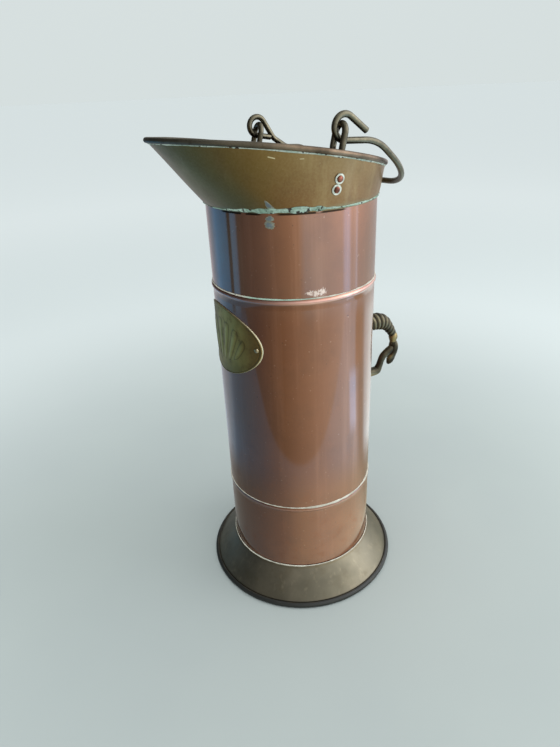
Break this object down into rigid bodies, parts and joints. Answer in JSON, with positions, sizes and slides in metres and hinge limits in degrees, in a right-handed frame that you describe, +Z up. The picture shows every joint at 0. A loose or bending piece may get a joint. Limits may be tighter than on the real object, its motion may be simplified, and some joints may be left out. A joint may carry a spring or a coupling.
{
  "type": "coal bucket",
  "caption": "Tall round coal bucket of copper drums on a flared brass foot, with a slanted brass pouring mouth, a hooked bail that swings over it and a cast handle at the back.",
  "frame": {"origin": "middle of the flat ring that the foot stands on", "axes": "+Z up along the drums, -X towards the pouring lip, +X towards the back handle, -Y towards the left ear"},
  "size_m": [0.296, 0.244, 0.5588],
  "materials": {
    "copper_sheet": null,
    "brass_sheet": "dull olive-brown brass sheet",
    "binding_copper": "dark browned copper bead",
    "bail_brass": "dark antique brass rod",
    "cast_brass": "cast brass, rubbed on its high places",
    "plaque_brass": "pressed yellow brass",
    "rivet_copper": "copper rivet heads",
    "washer_steel": "pale tinned washers",
    "iron_wire": "plain iron wire inside the rolled edges"
  },
  "bodies": {
    "bucket": {"foot_skirt": "brass_sheet", "foot_wire": "iron_wire", "bottom_disc": "copper_sheet", "lower_drum": "copper_sheet", "middle_drum": "copper_sheet", "upper_drum": "copper_sheet", "collar": "brass_sheet", "rim_binding": "binding_copper", "rim_wire": "iron_wire", "left_ear": "bail_brass", "right_ear": "bail_brass", "ear_rivets": "rivet_copper", "ear_washers": "washer_steel", "back_handle": "cast_brass", "handle_rivets": "rivet_copper", "handle_washers": "washer_steel", "plaque": "plaque_brass", "plaque_rivets": "plaque_brass"},
    "bail": {"bail": "bail_brass"}
  },
  "joints": [
    {"name": "bail_swing", "type": "hinge", "parent": "bucket", "child": "bail", "pos_m": [0.008, 0, 0.5453], "axis": [0.0436, -0.9985, 0.0343], "range_deg": [0, 220]}
  ]
}
